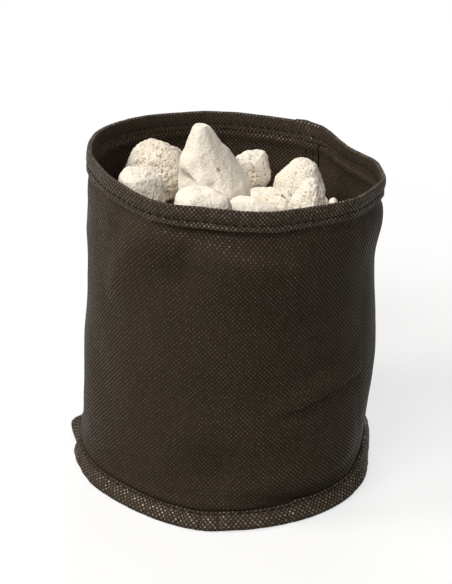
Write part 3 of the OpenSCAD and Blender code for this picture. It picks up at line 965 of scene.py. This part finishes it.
def rgb(r, g, b):
    return (r, g, b, 1.0)


def shade(colour, share):
    return rgb(*(share * c for c in colour))


def looked_along(tree):
    """Whether a ray of light is looked along, directly or by way of a mirror or clear glass."""
    path = tree.nodes.new("ShaderNodeLightPath")
    seen = path.outputs["Is Camera Ray"]
    for other in ("Is Glossy Ray", "Is Transmission Ray"):
        either = tree.nodes.new("ShaderNodeMath")
        either.operation = "MAXIMUM"
        tree.links.new(seen, either.inputs[0])
        tree.links.new(path.outputs[other], either.inputs[1])
        seen = either.outputs[0]
    return seen


# Spacing of the bond points of the cloth, which lie on a diamond lattice
BOND_PITCH = 0.0018
# Most that the points' colour covers the fibres' colour
BOND_SHARE = 0.85
# How much brighter the points are painted on the wall's inner face: a painted glint, for the light
# that face catches
INNER_POINT_GLINT = 2.0
# Roughness of the fibres and of the points
FIBRE_ROUGH, BOND_ROUGH = 0.8, 0.28
# Winds of a thread's strands along one stitch, and number of strands
THREAD_WINDS, THREAD_STRANDS = 6.0, 2.0


def cloth_material(name, base, bond, gloss, smear, reach):
    """Point-bonded cloth: matt fibres with small, pressed points that shine. smear is how far the
    points lie out of line, and reach their radius against their spacing."""
    t = Tree(name)
    uv = t.add("UVMap", uv_map="cloth")
    wander = t.texture(260.0, 1.0, uv, out=1)
    wander = t.vector("MULTIPLY", t.vector("SUBTRACT", wander, (0.5, 0.5, 0.5)), (smear,) * 3)
    where = t.add("Mapping", inputs={
        "Vector": t.vector("ADD", uv, wander), "Rotation": (0, 0, np.pi / 4),
        "Scale": (1.05 / BOND_PITCH, 0.97 / BOND_PITCH, 1.0),
    })
    cell = t.vector("FLOOR", where)
    offset = t.vector("SUBTRACT", t.vector("FRACTION", where), (0.5, 0.5, 0.0))
    offset = t.vector("MULTIPLY", offset, (1.0, 1.0, 0.0))
    far = t.vector("LENGTH", offset, out="Value")
    pick = t.add("TexWhiteNoise", inputs={"Vector": cell})
    point = t.between(far, reach - 0.12, reach, 1.0, 0.0)
    shine = t.math("MULTIPLY", point, t.between(pick, 0.0, 1.0, 0.35, 1.0))
    way = t.vector("SUBTRACT", pick.node.outputs[1], (0.5, 0.5, 0.5))
    tilt = t.vector("DOT_PRODUCT", offset, way, out="Value")
    fibre = t.texture(2600.0, 2.0, uv)
    cloud = t.texture(28.0, 3.0)
    patch = t.texture(30.0, 1.0)
    body = t.mix(cloud, shade(base, 0.78), shade(base, 1.22))
    body = t.mix(t.between(fibre, 0.35, 0.75), body, shade(base, 1.35))
    # Painted glint: on the wall's inner face the points are painted brighter, for the light that face
    # catches
    inside = t.add("Attribute", out="Fac", attribute_name="inside")
    points = t.mix(inside, rgb(*bond), shade(bond, INNER_POINT_GLINT))
    colour = t.mix(t.math("MULTIPLY", shine, BOND_SHARE), body, points)
    pressed = t.math("MULTIPLY", point, t.math("SUBTRACT", 0.8, t.math("MULTIPLY", tilt, 1.5)))
    height = t.math("SUBTRACT", t.math("MULTIPLY", fibre, 0.35), pressed)
    glossy = t.between(patch, 0.35, 0.65, 0.65 * gloss, 1.3 * gloss)
    return t.finish(
        Base_Color=colour,
        Roughness=t.between(point, 0.0, 1.0, FIBRE_ROUGH, BOND_ROUGH),
        Normal=t.bump(height, 0.00022, 0.9),
        Metallic=t.math("MULTIPLY", shine, glossy),
        Specular_IOR_Level=0.04,
    )


def thread_material():
    """Dark spun thread with its strands wound round, with painted shade in the grooves between them.
    """
    t = Tree("thread")
    uv = t.add("UVMap", uv_map="cloth")
    split = t.add("SeparateXYZ", inputs={0: uv})
    across = split.node.outputs[1]
    winds = t.math("MULTIPLY", split, THREAD_WINDS)
    winds = t.math("ADD", winds, t.math("MULTIPLY", across, THREAD_STRANDS))
    wind = t.math("SINE", t.math("MULTIPLY", winds, 2 * np.pi))
    fuzz = t.texture(4000.0, 2.0)
    # Painted shade: darker where the wind is low, in the grooves between the strands
    colour = t.mix(t.between(wind, -1.0, 1.0), rgb(0.006, 0.005, 0.004), rgb(0.018, 0.0155, 0.0125))
    return t.finish(
        Base_Color=t.mix(t.math("MULTIPLY", fuzz, 0.3), colour, rgb(0.024, 0.021, 0.017)),
        Roughness=0.8,
        Specular_IOR_Level=0.06,
        Normal=t.bump(wind, 0.00006),
    )


def pumice_material():
    """Cream-white pumice, tan in its pits, with fine grains."""
    t = Tree("pumice")
    hollow = t.add("Attribute", out="Fac", attribute_name="hollow")
    cloud = t.texture(55.0, 4.0)
    grain = t.texture(900.0, 3.0)
    speck = t.texture(420.0, 2.0, kind="Voronoi")
    pale = t.mix(t.between(cloud, 0.35, 0.7), rgb(0.76, 0.695, 0.592), rgb(0.79, 0.745, 0.66))
    pale = t.mix(t.between(grain, 0.28, 0.52, 0.6, 0.0), pale, rgb(0.60, 0.53, 0.42))
    stain = t.between(t.texture(70.0, 2.0), 0.6, 0.78, 0.0, 0.45)
    pale = t.mix(stain, pale, rgb(0.72, 0.60, 0.42))
    colour = t.mix(t.between(hollow, 0.12, 0.95, 0.0, 0.85), pale, rgb(0.40, 0.31, 0.21))
    height = t.math("ADD", t.math("MULTIPLY", grain, 0.8), t.math("MULTIPLY", speck, 0.5))
    return t.finish(
        Base_Color=colour,
        Roughness=0.95,
        Specular_IOR_Level=0.2,
        Normal=t.bump(height, 0.00042, 0.85),
    )


def floor_material():
    """Pale floor: white when looked at or mirrored, with the shadow kept, and plainly matt to all
    else."""
    t = Tree("floor")
    looked = looked_along(t.material.node_tree)
    pale = t.mix(t.texture(9.0, 2.0), rgb(0.85, 0.845, 0.84), rgb(0.87, 0.865, 0.86))
    pale = t.mix(looked, rgb(0.3, 0.3, 0.3), pale)
    t.finish(Base_Color=pale, Roughness=0.9, Specular_IOR_Level=0.0)
    white = t.add("Emission", inputs={"Color": rgb(1, 1, 1), "Strength": 1.0})
    away = t.vector("LENGTH", t.add("TexCoord", out="Object"), out="Value")
    seen = t.math("MULTIPLY", looked, t.between(away, 0.16, 0.55, 0.66, 1.0))
    mixed = t.add("MixShader", inputs={0: seen, 1: t.shader.outputs[0], 2: white})
    t.links.new(mixed, t.nodes["Material Output"].inputs["Surface"])
    return t.material


# Pieces on their bodies

cloth = cloth_material(
    "cloth", base=(0.0277, 0.0198, 0.0128), bond=(0.083, 0.069, 0.055),
    gloss=0.49, smear=0.0003, reach=0.33,
)
binding = cloth_material(
    "binding", base=(0.03, 0.0221, 0.015), bond=(0.14, 0.117, 0.0935),
    gloss=0.78, smear=0.0005, reach=0.38,
)
thread = thread_material()
pumice = pumice_material()


def dress(piece, node, body, material):
    piece.data.materials.append(material)
    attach(piece, body)
    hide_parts(node)
    return piece


wall = dress(make_wall(), "wall_panel", "bag", cloth)
base = dress(make_base(), "base_panel", "bag", cloth)
rim = dress(make_rim_strip(), "rim_binding", "bag", binding)
foot = dress(make_base_strip(), "base_binding", "bag", binding)
rim_thread = dress(make_rim_threads(), "rim_stitching", "bag", thread)
base_thread = dress(make_base_threads(), "base_stitching", "bag", thread)
seam_thread = dress(make_seam_threads(), "side_seam_stitching", "bag", thread)

for layer in range(1, BED_LAYERS + 1):
    node = f"bed_layer_{layer}"
    looks = BED_TOP if layer == BED_LAYERS else BED_BELOW
    dress(make_stones(f"bed_stones_{layer}", node, BED_TAN, *looks), node, "bag", pumice)
for node, looks in STONES.items():
    marks = DENTS.get(node, ()), CRACKS.get(node, ())
    stone = make_stones(f"{node}_pumice", node, STONE_TAN.get(node, 0), *looks, *marks)
    dress(stone, node, node, pumice)

# Floor, light and camera

FLOOR_HALF, FLOOR_Z = 3000, -0.2
FLOOR_WAYS = ((-1, -1), (1, -1), (1, 1), (-1, 1))
floor_corners = np.array([(x * FLOOR_HALF, y * FLOOR_HALF, FLOOR_Z) for x, y in FLOOR_WAYS])
floor = new_piece("floor", floor_corners, [range(4)])
floor.data.materials.append(floor_material())

LOOK_AT = Vector((0, 0, 0.11))
WARM = (1.0, 0.98, 0.95)
# Place, width, watts and colour of each lamp
LAMPS = {
    "key": ((-0.6, -0.92, 1.35), 0.6, 9.2, WARM),
    "side": ((-1.25, -0.1, 1.4), 0.5, 15.5, (1.0, 0.97, 0.92)),
    "front": ((-0.15, -1.0, 0.8), 0.2, 2.1, WARM),
    "low": ((-0.85, -0.68, 1.0), 0.36, 6, WARM),
    "right": ((0.9, -0.9, 1.5), 0.9, 3.0, WARM),
    "back": ((0.15, 1.25, 1.0), 0.8, 9.0, (1.0, 1.0, 1.0)),
}


def lamp(name, place_at, size, watts, colour):
    light = bpy.data.lights.new(name, "AREA")
    light.shape = "DISK"
    light.size = size
    light.energy = watts
    light.color = colour
    holder = new_object(name, light)
    holder.location = place_at
    holder.rotation_euler = (Vector(place_at) - LOOK_AT).to_track_quat("Z", "Y").to_euler()


for name, settings in LAMPS.items():
    lamp(name, *settings)

# Light from all round, which is white where it is looked at
FILL_LIGHT = 0.18
world = bpy.data.worlds.new("studio")
world.use_nodes = True
bpy.context.scene.world = world
sky = world.node_tree
strength = sky.nodes.new("ShaderNodeMapRange")
strength.inputs["To Min"].default_value = FILL_LIGHT
sky.links.new(looked_along(sky), strength.inputs["Value"])
sky.links.new(strength.outputs[0], sky.nodes["Background"].inputs["Strength"])
sky.nodes["Background"].inputs["Color"].default_value = rgb(1, 1, 1)

# Height of the photograph, which the long side of the sensor spans, and focal length, both in points
PHOTO_H, FOCAL_POINTS = 584, 1300
SENSOR = 36
CAMERA_AT = (0, -0.6643, 0.4333)
CAMERA_DOWN = 26.57
camera = new_object("camera", bpy.data.cameras.new("camera"))
camera.data.sensor_width = SENSOR
camera.data.lens = SENSOR * FOCAL_POINTS / PHOTO_H
camera.location = CAMERA_AT
camera.rotation_euler = (np.radians(90 - CAMERA_DOWN), 0, 0)
bpy.context.scene.camera = camera
bpy.context.scene.view_settings.view_transform = "Standard"
